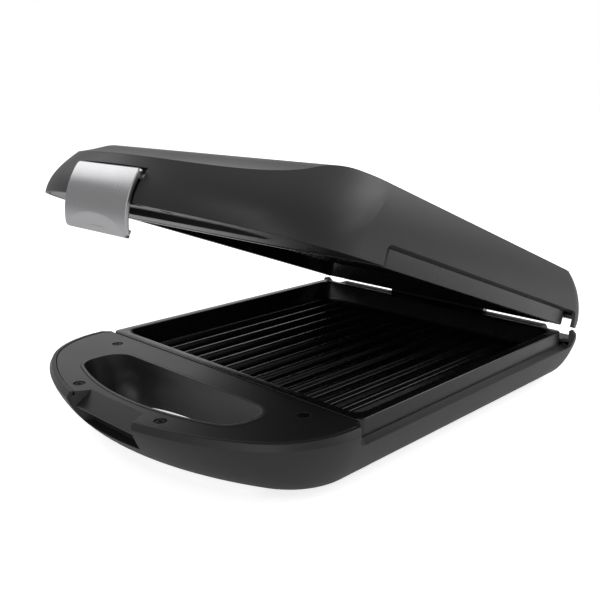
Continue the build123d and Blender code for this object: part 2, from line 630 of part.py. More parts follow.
def grill_plate():
    """Cast plate: skirted rim, sloping inner walls, gutter and a row of ribs."""
    well_depth = PLATE_VALLEY + PLATE_FLOOR
    tray_inset = SHELF_WIDTH + PLATE_TRAY_GAP
    plate = plate_blank(0, PLATE_SKIRT)
    plate = chamfer(plate.edges().group_by(Axis.Z)[-1], PLATE_EDGE) + plate_blank(tray_inset, well_depth)
    plate -= plate_blank(PLATE_RIM, PLATE_VALLEY, PLATE_DRAFT)
    for number in range(RIB_COUNT):
        x = (number - (RIB_COUNT - 1) / 2) * RIB_PITCH
        plate += Pos(x) * grill_rib()
    for x, y in corner_places():
        plate -= Pos(x, y, -PLATE_SKIRT) * Cylinder(SCREW_RADIUS + SEAT_GAP, 2 * (PLATE_SKIRT - PLATE_BOSS))
    return Pos(0, 0, -PLATE_GAP) * plate


def plate_screws():
    """Four screws that hold a plate's skirt to the shelf from below."""
    under = -SIDE_WINDOW_HEIGHT - SHELF_THICKNESS
    length = PLATE_SKIRT - PLATE_BOSS
    shank = Pos(0, 0, under + length / 2) * Cylinder(SCREW_RADIUS, length)
    head = Pos(0, 0, under - SEAT_GAP - SCREW_HEAD_HEIGHT / 2) * Cylinder(PLATE_SCREW_HEAD_RADIUS,
                                                                          SCREW_HEAD_HEIGHT)
    neck = Pos(0, 0, under - SEAT_GAP) * Cylinder(SCREW_RADIUS, 4 * SEAT_GAP)
    return [Pos(x, y) * (shank + neck + head) for x, y in corner_places()]


def heating_element():
    """A sheathed tube bent into a hairpin under the plate, its cold ends turned to the back."""
    z = -UNDER_PLATE - HEATER_GAP - HEATER_RADIUS
    back = PLATE_DEPTH - HEATER_MARGIN
    path = FilletPolyline((-HEATER_HALF_WIDTH, back, z), (-HEATER_HALF_WIDTH, HEATER_MARGIN, z),
                          (HEATER_HALF_WIDTH, HEATER_MARGIN, z), (HEATER_HALF_WIDTH, back, z),
                          radius=HEATER_BEND_RADIUS)
    return sweep(Plane(path @ 0, z_dir=path % 0) * Circle(HEATER_RADIUS), path)


def heat_reflector():
    """A shallow sheet-metal pan that closes the space under the heating element."""
    top = -UNDER_PLATE - SEAT_GAP
    half, wall = PLATE_WIDTH / 2 - REFLECTOR_MARGIN, REFLECTOR_THICKNESS
    y0, y1 = REFLECTOR_MARGIN, PLATE_DEPTH - REFLECTOR_MARGIN
    pan = block(-half, half, y0, y1, top - REFLECTOR_DEPTH, top)
    pan = fillet(pan.edges().filter_by(Axis.Z), REFLECTOR_CORNER_RADIUS)
    inside = block(wall - half, half - wall, y0 + wall, y1 - wall, top - REFLECTOR_DEPTH, top)
    return pan - Pos(0, 0, wall) * fillet(inside.edges().filter_by(Axis.Z),
                                          REFLECTOR_CORNER_RADIUS - wall)


def thermostat():
    """A snap-disc thermostat: a round case on the plate with two flat terminals."""
    top = -UNDER_PLATE - HEATER_GAP
    case = Pos(0, 0, top - THERMOSTAT_HEIGHT / 2) * Cylinder(THERMOSTAT_RADIUS, THERMOSTAT_HEIGHT)
    width, length, thickness = THERMOSTAT_TAB
    tab = Pos(THERMOSTAT_TAB_X, length / 2 - width / 2, top - THERMOSTAT_HEIGHT + 2 * thickness)
    return (Pos(0, PLATE_DEPTH / 2 + THERMOSTAT_PLACE)
            * (case + both_sides(tab * Box(width, length, thickness))))


# ---- base fittings ------------------------------------------------------------------------------
def rubber_feet():
    """Four chamfered feet glued flat to the underside."""
    foot = Pos(0, 0, -BASE_DEPTH - FOOT_HEIGHT / 2) * Cylinder(FOOT_RADIUS, FOOT_HEIGHT)
    foot = chamfer(foot.edges().group_by(Axis.Z)[0], FOOT_EDGE)
    return [Pos(side * FOOT_X, y) * foot for y in FOOT_PLACES for side in (1, -1)]


def terminal_block():
    """The block on the base's floor where the leads are joined."""
    length, width, height = TERMINAL_SIZE
    body = Pos(0, 0, height / 2) * Box(length, width, height)
    for number in range(3):
        x = (number - 1) * TERMINAL_PITCH
        body -= Pos(x, 0, height) * Cylinder(TERMINAL_HOLE_RADIUS, height)
    return Pos(0, PLATE_DEPTH - TERMINAL_MARGIN, WALL - BASE_DEPTH) * body


def cord_gland():
    """The bush in the back wall: a sleeve with a flange outside and a clear bore."""
    bush = gland_sleeve(0, GLAND_LENGTH, GLAND_SETBACK)
    bush += chamfer(gland_sleeve(GLAND_FLANGE, GLAND_FLANGE, GLAND_SETBACK).edges()
                    .group_by(Axis.Y)[-1], GLAND_FLANGE / 4)
    return bush - rod(GLAND_BORE_RADIUS, (GLAND_X, BACK_Y + WALL, GLAND_Z),
                      (GLAND_X, BACK_Y - GLAND_SETBACK - GLAND_LENGTH - WALL, GLAND_Z))


def latch_catch():
    """The wedge across the latch pocket: a sloping lead-in over a nose that the hook goes under."""
    back = POCKET_BACK - SEAT_GAP
    run, rise = CATCH_UNDERCUT
    corners = [(back, -COVER_DROP), (CATCH_NOSE, CATCH_NOSE_Z + CATCH_LAND), (CATCH_NOSE, CATCH_NOSE_Z),
               (CATCH_NOSE + run, CATCH_NOSE_Z - rise), (back, CATCH_NOSE_Z - rise)]
    return yz_prism(corners, POCKET_HALF_WIDTH) & (Pos(0, 0, POCKET_FLOOR)
                                                   * extrude(pocket_plan(-SEAT_GAP), FAR))


# ---- hinge --------------------------------------------------------------------------------------
def hinge_leaf(knuckles):
    """A steel leaf under the hinge axis with curled knuckles at the given stretches of X."""
    lowest = -HINGE_LEAF_GAP - HINGE_LEAF_THICKNESS
    y0, y1 = PLATE_DEPTH + WALL + HINGE_LEAF_SETBACK, HINGE_Y + HINGE_BARREL_RADIUS - HINGE_CURL
    leaf = block(-HINGE_HALF_WIDTH, HINGE_HALF_WIDTH, y0, y1, lowest, -HINGE_LEAF_GAP)
    leaf = fillet(leaf.edges().filter_by(Axis.Z), HINGE_LEAF_CORNER_RADIUS)
    for x0, x1 in knuckles:
        leaf += Pos((x0 + x1) / 2, HINGE_Y) * Rot(0, 90, 0) * Cylinder(HINGE_BARREL_RADIUS, x1 - x0)
        leaf += block(x0, x1, HINGE_Y - HINGE_WEB, y1, lowest, -HINGE_WEB / 2)
    leaf -= rod(HINGE_PIN_RADIUS + RUNNING_CLEARANCE, (-FAR / 4, HINGE_Y, 0), (FAR / 4, HINGE_Y, 0))
    for x, y in hinge_screw_places():
        leaf -= Pos(x, y, lowest) * Cylinder(HINGE_SCREW_RADIUS + SEAT_GAP, 3 * HINGE_LEAF_THICKNESS)
    return leaf


def hinge_screw_places():
    """Two screws near each end of a leaf, in front of the barrels."""
    y = PLATE_DEPTH + WALL + HINGE_SCREW_SETBACK
    return [(side * x, y) for x in HINGE_SCREW_PLACES for side in (1, -1)]


def hinge_screws():
    """Pan-head screws that hold a leaf in its seat."""
    radius, height = HINGE_SCREW_HEAD
    seat = SEAT_GAP - HINGE_LEAF_GAP
    length = HINGE_SCREW_REACH + 2 * SEAT_GAP
    head = Pos(0, 0, seat + height / 2) * Cylinder(radius, height)
    shank = Pos(0, 0, seat + SEAT_GAP - length / 2) * Cylinder(HINGE_SCREW_RADIUS, length)
    return [Pos(x, y) * (head + shank) for x, y in hinge_screw_places()]


def hinge_pin():
    """The pin through all the knuckles, with a small head at each end."""
    radius, thickness = HINGE_PIN_HEAD
    reach = HINGE_HALF_WIDTH + SEAT_GAP
    pin = rod(HINGE_PIN_RADIUS, (-reach, HINGE_Y, 0), (reach, HINGE_Y, 0))
    return pin + both_sides(rod(radius, (reach, HINGE_Y, 0), (reach + thickness, HINGE_Y, 0)))


# ---- latch --------------------------------------------------------------------------------------
def latch():
    """The bowed flap with a thumb scoop, two pivot lugs and the hook behind it."""
    bow_y = LATCH_FACE + LATCH_BOW_RADIUS
    bow = Pos(0, bow_y, LATCH_BOW_HEIGHT) * Rot(0, 90, 0)
    outer = bow * Cylinder(LATCH_BOW_RADIUS, FAR)
    plan = block(-LATCH_HALF_WIDTH, LATCH_HALF_WIDTH, LATCH_FACE - 1, LATCH_FACE + 12,
                 LATCH_BOTTOM, LATCH_TOP)
    plan = fillet(plan.edges().filter_by(Axis.Y), LATCH_CORNER_RADIUS)
    flap = (outer - bow * Cylinder(LATCH_BOW_RADIUS - LATCH_THICKNESS, FAR)) & plan
    scoop_tilt = asin((LATCH_BOW_HEIGHT - LATCH_BOTTOM) / LATCH_BOW_RADIUS)
    scoop_reach = LATCH_BOW_RADIUS + LATCH_SCOOP_RADIUS - LATCH_SCOOP_DEPTH
    flap -= Pos(0, bow_y - scoop_reach * cos(scoop_tilt),
                LATCH_BOW_HEIGHT - scoop_reach * sin(scoop_tilt)) * Sphere(LATCH_SCOOP_RADIUS)
    eye = Pos(0, LATCH_PIN_Y, LATCH_PIN_Z) * Rot(0, 90, 0) * Cylinder(LATCH_LUG_REACH, LATCH_LUG_WIDTH)
    lug = eye + yz_prism([(LATCH_FACE, LATCH_PIN_Z - LATCH_LUG_FOOT),
                          (LATCH_PIN_Y + LATCH_LUG_REACH, LATCH_PIN_Z), (LATCH_PIN_Y, LATCH_PIN_Z),
                          (LATCH_PIN_Y, LATCH_PIN_Z + LATCH_LUG_REACH),
                          (LATCH_FACE, LATCH_PIN_Z + LATCH_LUG_REACH)], LATCH_LUG_WIDTH / 2)
    run, rise = LATCH_HOOK_NOSE
    hook = yz_prism([(LATCH_FACE, LATCH_HOOK_ROOT), (LATCH_FACE, LATCH_HOOK_UNDER),
                     (LATCH_HOOK_TIP, LATCH_HOOK_UNDER), (LATCH_HOOK_TIP, LATCH_HOOK_TOP),
                     (LATCH_HOOK_TIP - run, LATCH_HOOK_TOP),
                     (LATCH_HOOK_TIP - 2 * run, LATCH_HOOK_TOP + rise)], LATCH_HOOK_HALF_WIDTH)
    behind = bow * Cylinder(LATCH_BOW_RADIUS - LATCH_THICKNESS / 2, FAR)
    flap += behind & (both_sides(Pos(LATCH_LUG_X) * lug) + hook)
    return flap - rod(LATCH_PIN_RADIUS + RUNNING_CLEARANCE, (-FAR / 4, LATCH_PIN_Y, LATCH_PIN_Z),
                      (FAR / 4, LATCH_PIN_Y, LATCH_PIN_Z))


def latch_pin():
    """The pin that the latch swings on, held in both walls of the bay."""
    reach = LATCH_PIN_HALF - SEAT_GAP
    return rod(LATCH_PIN_RADIUS, (-reach, LATCH_PIN_Y, LATCH_PIN_Z), (reach, LATCH_PIN_Y, LATCH_PIN_Z))


# ---- assembly -----------------------------------------------------------------------------------
SIDE_KNUCKLES = [(HINGE_CENTRE_HALF_WIDTH + HINGE_KNUCKLE_GAP, HINGE_HALF_WIDTH),
                 (-HINGE_HALF_WIDTH, -HINGE_CENTRE_HALF_WIDTH - HINGE_KNUCKLE_GAP)]
CENTRE_KNUCKLE = [(-HINGE_CENTRE_HALF_WIDTH, HINGE_CENTRE_HALF_WIDTH)]

BASE_PIECES = {
    "base_housing": base_housing,
    "base_handle_cover": lambda: handle_cover(BASE_COVER_OUTLINE, 0, latch_pocket()),
    "base_well_liner": base_well_liner,
    "base_cover_screws": lambda: cover_screws(0),
    "lower_grill_plate": grill_plate,
    "lower_plate_screws": plate_screws,
    "lower_heating_element": heating_element,
    "lower_heat_reflector": heat_reflector,
    "lower_thermostat": thermostat,
    "terminal_block": terminal_block,
    "cord_gland": cord_gland,
    "rubber_feet": rubber_feet,
    "latch_catch": latch_catch,
    "hinge_base_leaf": lambda: hinge_leaf(SIDE_KNUCKLES),
    "hinge_base_screws": hinge_screws,
    "hinge_pin": hinge_pin,
}

LID_PIECES = {
    "lid_housing": lid_housing,
    "lid_handle_cover": lambda: flipped(handle_cover(LID_COVER_OUTLINE, LID_SHIFT, flipped(latch_bay(0.4)))),
    "lid_well_cup": lid_well_cup,
    "lid_cover_screws": lambda: [flipped(screw) for screw in cover_screws(LID_SHIFT)],
    "upper_grill_plate": lambda: flipped(grill_plate()),
    "upper_plate_screws": lambda: [flipped(screw) for screw in plate_screws()],
    "upper_heating_element": lambda: flipped(heating_element()),
    "upper_heat_reflector": lambda: flipped(heat_reflector()),
    "upper_thermostat": lambda: flipped(thermostat()),
    "hinge_lid_leaf": lambda: flipped(hinge_leaf(CENTRE_KNUCKLE)),
    "hinge_lid_screws": lambda: [flipped(screw) for screw in hinge_screws()],
    "latch": latch,
    "latch_pin": latch_pin,
}


def main():
    """Build every piece, put it in its place at rest and write it out."""
    os.makedirs("parts", exist_ok=True)
    opening = Pos(0, HINGE_Y, 0) * Rot(-REST_OPENING, 0, 0) * Pos(0, -HINGE_Y, 0)
    placed = {}
    for pieces, place in ((BASE_PIECES, Pos(0, 0, 0)), (LID_PIECES, opening)):
        for name, build in pieces.items():
            shape = build()
            solids = shape if isinstance(shape, list) else shape.solids()
            placed[name] = [place * solid for solid in solids]
    rearmost = max(solid.bounding_box().max.Y for solid in placed["lid_housing"])
    stand = Pos(0, (BASE_FRONT_REACH - rearmost) / 2, PARTING_Z)
    for name, solids in placed.items():
        export_step(Compound(children=[stand * solid for solid in solids]), f"parts/{name}.step")


if __name__ == "__main__":
    main()
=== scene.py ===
"""Looks of a panini press with a hinged lid: its finishes, its fine detail, the studio and the camera.

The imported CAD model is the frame.  Each class below dresses one sub-assembly of the press; the ones
that add pieces build them with bmesh in the CAD frame, in metres, and let them ride on a CAD body.
"""

import json
import logging
import math
from dataclasses import dataclass
from enum import Enum
from typing import Any

import bmesh
import bpy
from mathutils import Matrix, Vector

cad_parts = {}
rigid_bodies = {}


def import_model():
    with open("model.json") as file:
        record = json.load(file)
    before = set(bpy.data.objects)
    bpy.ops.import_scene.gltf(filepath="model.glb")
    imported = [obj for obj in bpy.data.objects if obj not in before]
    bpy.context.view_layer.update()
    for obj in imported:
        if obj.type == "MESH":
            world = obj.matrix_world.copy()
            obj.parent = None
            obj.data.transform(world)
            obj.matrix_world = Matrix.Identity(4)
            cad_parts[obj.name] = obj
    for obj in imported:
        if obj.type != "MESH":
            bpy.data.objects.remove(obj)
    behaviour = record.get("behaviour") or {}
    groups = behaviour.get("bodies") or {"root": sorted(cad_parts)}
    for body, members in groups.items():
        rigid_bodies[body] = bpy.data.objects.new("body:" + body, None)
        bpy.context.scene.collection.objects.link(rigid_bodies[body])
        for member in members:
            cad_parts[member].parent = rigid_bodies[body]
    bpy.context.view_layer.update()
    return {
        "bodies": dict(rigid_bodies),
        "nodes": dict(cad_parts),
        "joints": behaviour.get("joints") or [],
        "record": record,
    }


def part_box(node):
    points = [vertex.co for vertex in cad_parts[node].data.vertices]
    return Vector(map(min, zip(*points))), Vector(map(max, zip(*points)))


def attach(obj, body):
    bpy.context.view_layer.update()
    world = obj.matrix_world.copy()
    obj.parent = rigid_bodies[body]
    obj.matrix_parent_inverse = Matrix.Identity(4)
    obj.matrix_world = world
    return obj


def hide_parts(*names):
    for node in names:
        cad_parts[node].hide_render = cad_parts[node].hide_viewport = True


LOG = logging.getLogger("panini_press")
MM = 0.001
PLATE_GAP_MM = 0.1                # parting plane to each plate's rim
SMOOTH_LIMIT = 38.0               # degrees; a sharper edge shows as an edge
CUT_MM = 1e-5                     # a cut this near a vertex goes through it
MERGE_MM = 0.001
NEARLY = 0.9999                   # a rounding of a whole half width would pinch a loop's ends
SCREW_PLACES = ((95.4, -15.5), (-95.4, -15.5), (43.2, -79.1), (-43.2, -79.1))
LID_SCREW_SHIFT = -10.3


class Body(Enum):
    """The three rigid bodies that the joints move."""

    BASE = "base"
    LID = "lid"
    LATCH = "latch"


# ---- colour and shader nodes ----------------------------------------------------------------------
def linear(hex_colour: str) -> tuple[float, float, float, float]:
    """Turn an sRGB hex colour into the linear RGBA that a shader socket takes.

    Args:
        hex_colour: The colour as "#rrggbb".

    Returns:
        The linear colour with an alpha of one.
    """
    channels = [int(hex_colour[place:place + 2], 16) / 255 for place in (1, 3, 5)]
    red, green, blue = (c / 12.92 if c <= 0.04045 else ((c + 0.055) / 1.055) ** 2.4 for c in channels)
    return red, green, blue, 1.0


def add_node(tree: bpy.types.NodeTree, kind: str, settings: dict[str, Any] | None = None,
             **inputs: Any) -> bpy.types.Node:
    """Add one shader node, set it up and link it.

    Args:
        tree: The node tree that takes the node.
        kind: The node's type name, without its ShaderNode prefix.
        settings: Properties of the node itself.
        **inputs: Values or output sockets by input name, with underscores for spaces; a name such
            as in_1 picks the input at that place.

    Returns:
        The new node.
    """
    node = tree.nodes.new("ShaderNode" + kind)
    for name, value in (settings or {}).items():
        setattr(node, name, value)
    for name, value in inputs.items():
        place = int(name[3:]) if name.startswith("in_") else name.replace("_", " ")
        socket = node.inputs[place]
        if isinstance(value, bpy.types.NodeSocket):
            tree.links.new(value, socket)
        else:
            socket.default_value = value
    return node


@dataclass(frozen=True)
class Finish:
    """A surface finish: a principled shader with a fine relief drawn in real millimetres."""

    name: str
    colour: str
    roughness: float
    ior: float = 1.5
    metallic: float = 0.0
    grain_mm: float = 0.4          # size of one bump of the relief
    relief_mm: float = 0.004       # its height
    mottle_mm: float = 40.0        # size of the patches where the sheen wanders
    mottle: float = 0.02           # how far the roughness wanders
    edge_mm: float = 0.3           # how far edges are softened; none where they are modelled round

    def material(self) -> bpy.types.Material:
        """Make the finish as a material, or hand out the one already made.

        Returns:
            The material, which reads Object coordinates only.
        """
        known = bpy.data.materials.get(self.name)
        if known is not None:
            return known
        made = bpy.data.materials.new(self.name)
        made.use_nodes = True
        tree = made.node_tree
        tree.nodes.clear()
        place = add_node(tree, "TexCoord").outputs["Object"]
        shader = add_node(tree, "BsdfPrincipled", Base_Color=linear(self.colour), Metallic=self.metallic,
                          Roughness=self.sheen(tree, place), Normal=self.relief(tree, place))
        if not self.metallic:
            shader.inputs["IOR"].default_value = self.ior
        add_node(tree, "OutputMaterial", Surface=shader.outputs["BSDF"])
        return made

    def sheen(self, tree: bpy.types.NodeTree, place: bpy.types.NodeSocket) -> bpy.types.NodeSocket:
        """The roughness, wandering a little from patch to patch as a moulding's does.

        Args:
            tree: The material's node tree.
            place: Object coordinates.

        Returns:
            The socket that gives the roughness.
        """
        patches = add_node(tree, "TexNoise", Vector=place, Scale=1 / (self.mottle_mm * MM), Detail=3.0,
                           Roughness=0.6)
        span = add_node(tree, "MapRange", Value=patches.outputs["Fac"], From_Min=0.3, From_Max=0.7,
                        To_Min=self.roughness - self.mottle, To_Max=self.roughness + self.mottle)
        return span.outputs["Result"]

    def relief(self, tree: bpy.types.NodeTree, place: bpy.types.NodeSocket) -> bpy.types.NodeSocket:
        """The fine grain of the surface as a bumped normal.

        Args:
            tree: The material's node tree.
            place: Object coordinates.

        Returns:
            The normal socket.
        """
        grain = add_node(tree, "TexNoise", Vector=place, Scale=1 / (self.grain_mm * MM), Detail=2.0,
                         Roughness=0.5)
        bump = add_node(tree, "Bump", Strength=1.0, Distance=self.relief_mm * MM,
                        Height=grain.outputs["Fac"])
        if self.edge_mm:
            edges = add_node(tree, "Bevel", {"samples": 6}, Radius=self.edge_mm * MM)
            tree.links.new(edges.outputs["Normal"], bump.inputs["Normal"])
        return bump.outputs["Normal"]


# Polypropylene moulded in a spark-eroded tool: a deep charcoal with a soft, slightly broken sheen.  The
# tool's own grain is about 0.1 mm; here and on the covers it is drawn coarser, so that it shows.
CHARCOAL_SHELL = Finish("charcoal_polypropylene_moulded", "#1f1f20", 0.44, ior=1.49, grain_mm=0.45,
                        relief_mm=0.012, edge_mm=0.9)
# The same plastic from a finer tool, so the handle covers look a shade flatter.
CHARCOAL_COVER = Finish("charcoal_polypropylene_fine", "#1e1e1f", 0.36, ior=1.49, grain_mm=0.35,
                        relief_mm=0.008, edge_mm=0.4)
# The finger wells take the same charcoal plastic painted lighter: painted light that stands in for the light
# falling into them.
WELL_PAINTED_LIGHT = Finish("charcoal_polypropylene_painted_light", "#3a3a3c", 0.38, ior=1.49, grain_mm=0.6,
                       relief_mm=0.006, edge_mm=0.7)
# Non-stick coating sprayed on cast aluminium: nearly black, satin, with a faint orange peel.
NON_STICK = Finish("nonstick_coated_cast_aluminium", "#121213", 0.25, ior=1.5, grain_mm=1.1,
                   relief_mm=0.003, mottle_mm=14.0, mottle=0.04, edge_mm=0.0)
# A painted highlight: a lighter grey on the ribs' crests that stands in for the highlights along them.
CREST_PAINTED_HIGHLIGHT = Finish("nonstick_coating_thin_over_crests", "#7a7a7c", 0.28, ior=1.5, grain_mm=1.1,
                        relief_mm=0.002, edge_mm=0.0)
# ABS sprayed with silver lacquer: a satin metal sheen without any brushing.
SILVER_LACQUER = Finish("silver_lacquered_abs", "#b2b2b4", 0.27, metallic=1.0, grain_mm=0.3,
                        relief_mm=0.003, edge_mm=0.0)
# Zinc-plated sheet steel: cool, bright and a little cloudy.
ZINC_STEEL = Finish("zinc_plated_steel", "#8f9193", 0.36, metallic=1.0, grain_mm=0.6, relief_mm=0.003)
# Hinge leaves blackened after plating, so that they don't show between the plates.
BLACK_ZINC = Finish("black_passivated_zinc_steel", "#26262a", 0.42, metallic=1.0, grain_mm=0.5,
                    relief_mm=0.006)
# Phosphated and oiled screws: dull black steel.
BLACK_SCREW = Finish("black_phosphated_steel", "#1b1b1c", 0.45, metallic=1.0, grain_mm=0.3,
                     relief_mm=0.004)
# Steel heater sheath, tinted brown-grey by its first heats.
HEATER_SHEATH = Finish("oxidised_heater_sheath", "#4a4542", 0.5, metallic=1.0)
# Aluminised sheet steel as it comes from the mill.
ALUMINISED = Finish("aluminised_sheet_steel", "#a9abad", 0.38, metallic=1.0)
# Steatite, the pale ceramic of thermostats and terminal blocks.
STEATITE = Finish("steatite_glazed", "#d9d3c4", 0.35, ior=1.55)
# Rubber feet, matte from the mould.
FOOT_RUBBER = Finish("foot_rubber_moulded", "#161616", 0.75, ior=1.52, relief_mm=0.01)

SLOT_FINISHES = {
    "charcoal_shell": CHARCOAL_SHELL,
    "charcoal_cover": CHARCOAL_COVER,
    "nonstick_plate": NON_STICK,
    "satin_silver": SILVER_LACQUER,
    "steel": ZINC_STEEL,
    "black_screw": BLACK_SCREW,
    "heater_sheath": HEATER_SHEATH,
    "aluminised_sheet": ALUMINISED,
    "ceramic": STEATITE,
    "foot_rubber": FOOT_RUBBER,
}
# Nodes whose own finish differs from the rest of their slot.
NODE_FINISHES = {
    # The wells' lighter charcoal is painted light.
    "base_well_liner": WELL_PAINTED_LIGHT,
    "lid_well_cup": WELL_PAINTED_LIGHT,
    "hinge_base_leaf": BLACK_ZINC,
    "hinge_lid_leaf": BLACK_ZINC,
}


def dress(piece: bpy.types.Object, *finishes: Finish) -> None:
    """Give a piece its finishes.

    Args:
        piece: A CAD node or a new piece.
        *finishes: One for each of its materials.
    """
    piece.data.materials.clear()
    for finish in finishes:
        piece.data.materials.append(finish.material())


# ---- drawing frame and mesh tools ------------------------------------------------------------------
@dataclass(frozen=True)
class Drawing:
    """The closed press in millimetres, drawn from the middle of the plates' front edge."""

    corner: Vector                # that point in the row's frame, in metres
    hinge: Vector                 # a point on the lid's hinge axis, in metres
    opening: float                # how far the lid stands open at rest, in radians

    @classmethod
    def of_frame(cls, frame: dict[str, Any]) -> "Drawing":
        """Read the drawing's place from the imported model.


        Returns:
            The drawing frame.
        """
        hinge = next(joint for joint in frame["joints"] if joint["name"] == "lid_hinge")
        low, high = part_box("lower_grill_plate")
        return cls(Vector((0.0, low.y, high.z + PLATE_GAP_MM * MM)), Vector(hinge["pos_m"]),
                   -math.radians(hinge["range_deg"][0]))

    def base(self) -> Matrix:
        """Drawing millimetres to the row's metres, for the base."""
        return Matrix.Translation(self.corner) @ Matrix.Scale(MM, 4)

    def lid(self) -> Matrix:
        """Drawing millimetres to the row's metres, for the lid as it stands open."""
        turn = Matrix.Rotation(-self.opening, 4, "X")
        return Matrix.Translation(self.hinge) @ turn @ Matrix.Translation(-self.hinge) @ self.base()


def closed_loop(mesh: bmesh.types.BMesh, half_x: float, half_y: float, radius: float, z: float,
                steps: int = 6) -> list[bmesh.types.BMEdge]:
    """Draw a rounded rectangle as a closed loop of edges about the Z axis.

    Args:
        mesh: The mesh that takes it.
        half_x: Half its width.
        half_y: Half its length.
        radius: Its corner radius.
        z: Its height.
        steps: Straight steps in each corner.

    Returns:
        The loop's edges.
    """
    known = set(mesh.faces)
    verts = bmesh.ops.create_grid(mesh, x_segments=1, y_segments=1, size=1.0)["verts"]
    bmesh.ops.scale(mesh, vec=(half_x, half_y, 1.0), verts=verts)
    bmesh.ops.translate(mesh, vec=(0.0, 0.0, z), verts=verts)
    bmesh.ops.bevel(mesh, geom=verts, offset=radius, affect="VERTICES", segments=steps, profile=0.5,
                    material=-1)
    face = next(made for made in mesh.faces if made not in known)
    edges = list(face.edges)
    bmesh.ops.delete(mesh, geom=[face], context="FACES_ONLY")
    return edges


def round_loop(mesh: bmesh.types.BMesh, radius: float, z: float, steps: int = 32) -> list[bmesh.types.BMEdge]:
    """Draw a circle about the Z axis as a closed loop of edges.

    Args:
        mesh: The mesh that takes it.
        radius: Its radius.
        z: Its height.
        steps: Its straight steps.

    Returns:
        The loop's edges.
    """
    verts = bmesh.ops.create_circle(mesh, cap_ends=False, segments=steps, radius=radius)["verts"]
    bmesh.ops.translate(mesh, vec=(0.0, 0.0, z), verts=verts)
    return list({edge for vert in verts for edge in vert.link_edges})


def skin(mesh: bmesh.types.BMesh, loops: list[list[bmesh.types.BMEdge]]) -> None:
    """Bridge each loop to the next and close both ends.

    Args:
        mesh: The mesh that holds the loops.
        loops: Loops of one count of edges, in order.
    """
    for near, far in zip(loops, loops[1:]):
        bmesh.ops.bridge_loops(mesh, edges=near + far)
    for end in (loops[0], loops[-1]):
        bmesh.ops.contextual_create(mesh, geom=end)


def soften(mesh: bmesh.types.BMesh, edges: list[bmesh.types.BMEdge], radius: float, steps: int = 3) -> None:
    """Round some edges off.

    Args:
        mesh: The mesh that holds them.
        edges: The edges.
        radius: How far the rounding reaches along each side.
        steps: Straight steps across the rounding.
    """
    bmesh.ops.bevel(mesh, geom=edges, offset=radius, affect="EDGES", segments=steps, profile=0.5,
                    material=-1)


def sharp_edges(mesh: bmesh.types.BMesh, above: float) -> list[bmesh.types.BMEdge]:
    """The edges whose two faces turn by more than an angle.

    Args:
        mesh: The mesh to look through.
        above: The angle in degrees.

    Returns:
        Those edges.
    """
    limit = math.radians(above)
    return [edge for edge in mesh.edges if edge.is_manifold and edge.calc_face_angle(0.0) > limit]


def install(mesh: bmesh.types.BMesh, name: str, place: Matrix, body: Body, finishes: list[Finish],
            stands_for: str) -> bpy.types.Object:
    """Put a finished mesh in its place, smooth it and let it ride on its body.

    Args:
        mesh: The bmesh in drawing millimetres, which is freed.
        name: The piece's name.
        place: Drawing millimetres to the row's metres.
        body: The body that it rides on.
        finishes: Its finishes, in the order of its faces' material numbers.
        stands_for: The CAD node that it replaces.

    Returns:
        The piece.
    """
    bmesh.ops.transform(mesh, matrix=place, verts=mesh.verts)
    bmesh.ops.recalc_face_normals(mesh, faces=mesh.faces)
    for face in mesh.faces:
        face.smooth = True
    for edge in sharp_edges(mesh, SMOOTH_LIMIT):
        edge.smooth = False
    piece = piece_from(mesh, name)
    dress(piece, *finishes)
    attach(piece, body.value)
    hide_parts(stands_for)
    LOG.info("%s: %d faces, riding on %s", name, len(piece.data.polygons), body.value)
    return piece


